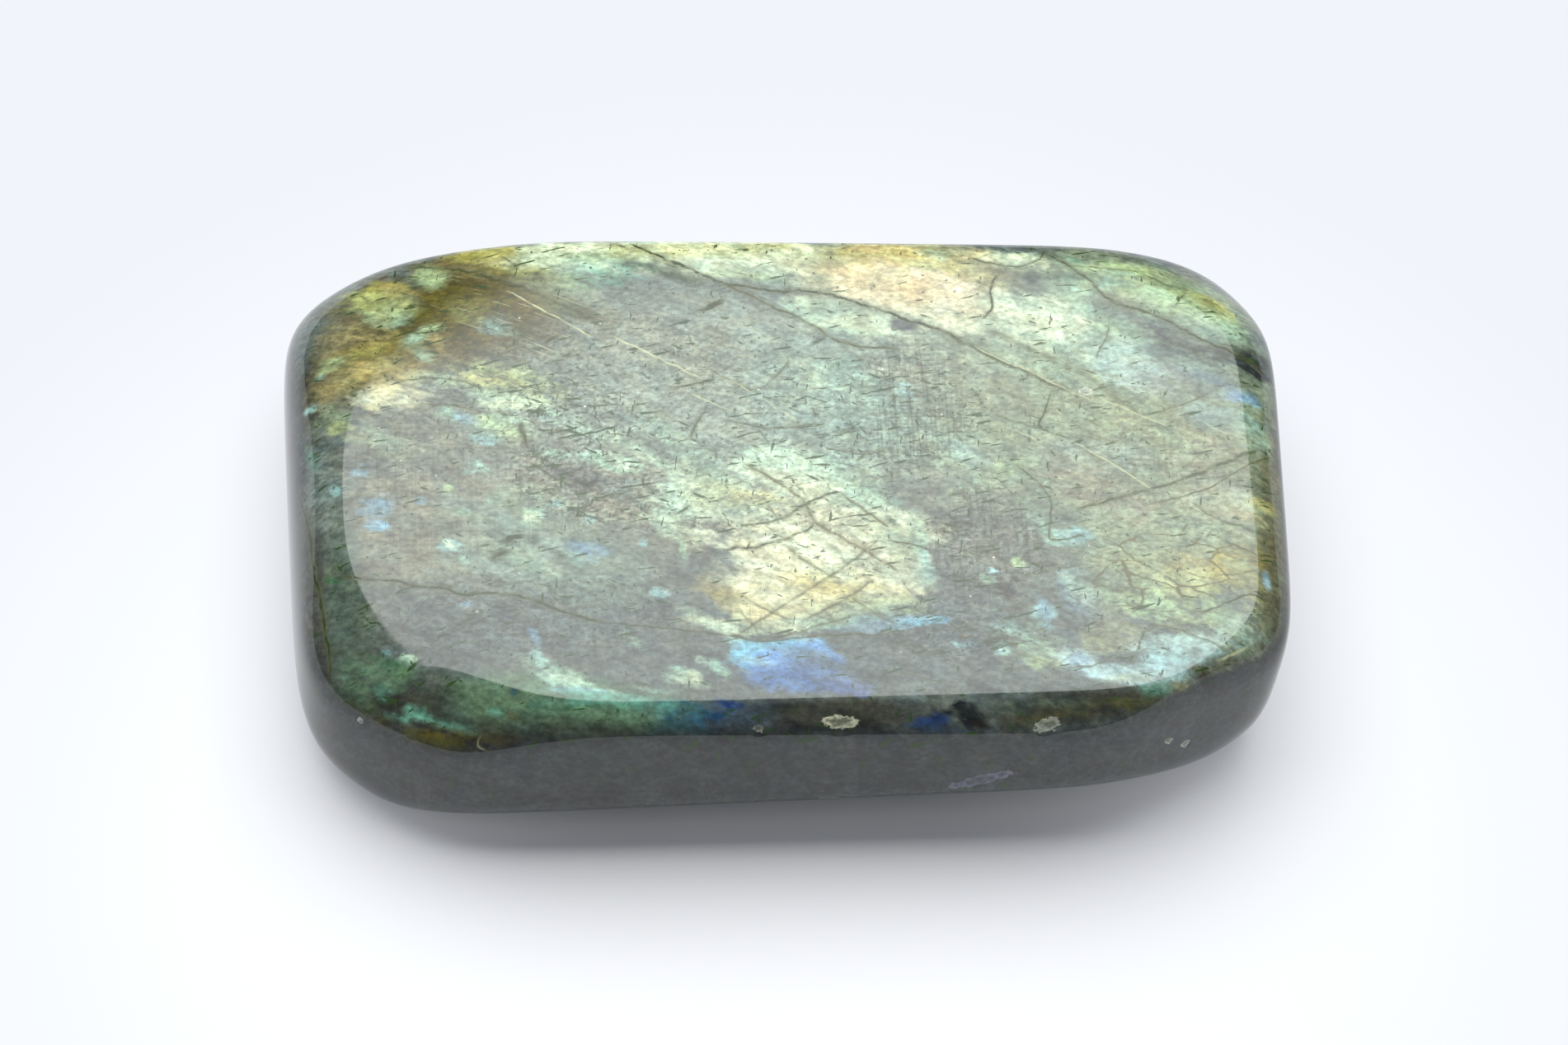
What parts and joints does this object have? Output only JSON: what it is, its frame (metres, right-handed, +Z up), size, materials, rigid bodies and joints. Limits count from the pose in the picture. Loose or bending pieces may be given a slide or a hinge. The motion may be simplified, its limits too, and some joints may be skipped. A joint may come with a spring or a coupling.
{
  "type": "polished labradorite stone",
  "caption": "Flat rounded block of polished labradorite with bevelled shoulders, a gently sloping top and a flat base to rest on.",
  "frame": {"origin": "middle of the stone's footprint, on the surface it rests on", "axes": "+X along the stone's length to the right, +Y to its back, +Z up"},
  "size_m": [0.0701, 0.0445, 0.014],
  "materials": {
    "polished_labradorite": "polished"
  },
  "bodies": {
    "root": {"labradorite_stone": "polished_labradorite"}
  },
  "joints": []
}
